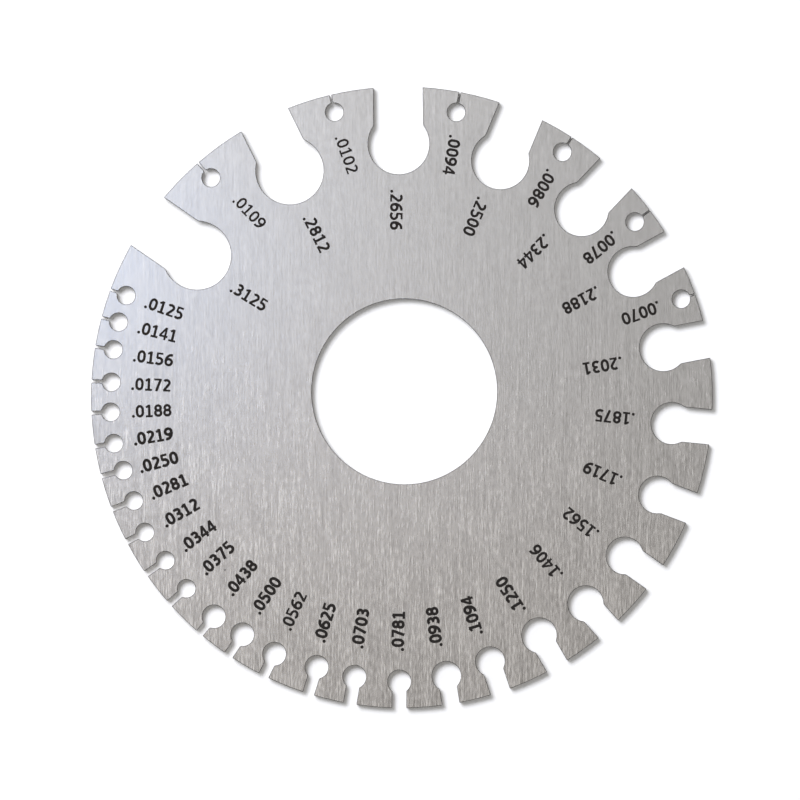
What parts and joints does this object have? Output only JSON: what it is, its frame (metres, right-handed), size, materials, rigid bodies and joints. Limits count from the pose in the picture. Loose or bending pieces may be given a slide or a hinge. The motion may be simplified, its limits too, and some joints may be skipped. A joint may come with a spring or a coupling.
{
  "type": "wire gauge",
  "caption": "Round flat steel gauge: keyhole slots of stepped widths round its rim are tried on a sheet or wire until one just fits, which tells its thickness.",
  "frame": {"origin": "centre of the rim circle, on the underside that it rests on", "axes": "+Z out of the marked face, +Y towards the slot for 0.2656 inch, which lies 0.7 degrees past it, +X to the right of that, seen from the marked face"},
  "size_m": [0.085, 0.0849, 0.0016],
  "materials": {
    "steel": "satin stainless steel with a fine straight grain",
    "etched_mark": "etched dark and matt"
  },
  "bodies": {
    "root": {"gauge_disc": "steel"}
  },
  "joints": []
}
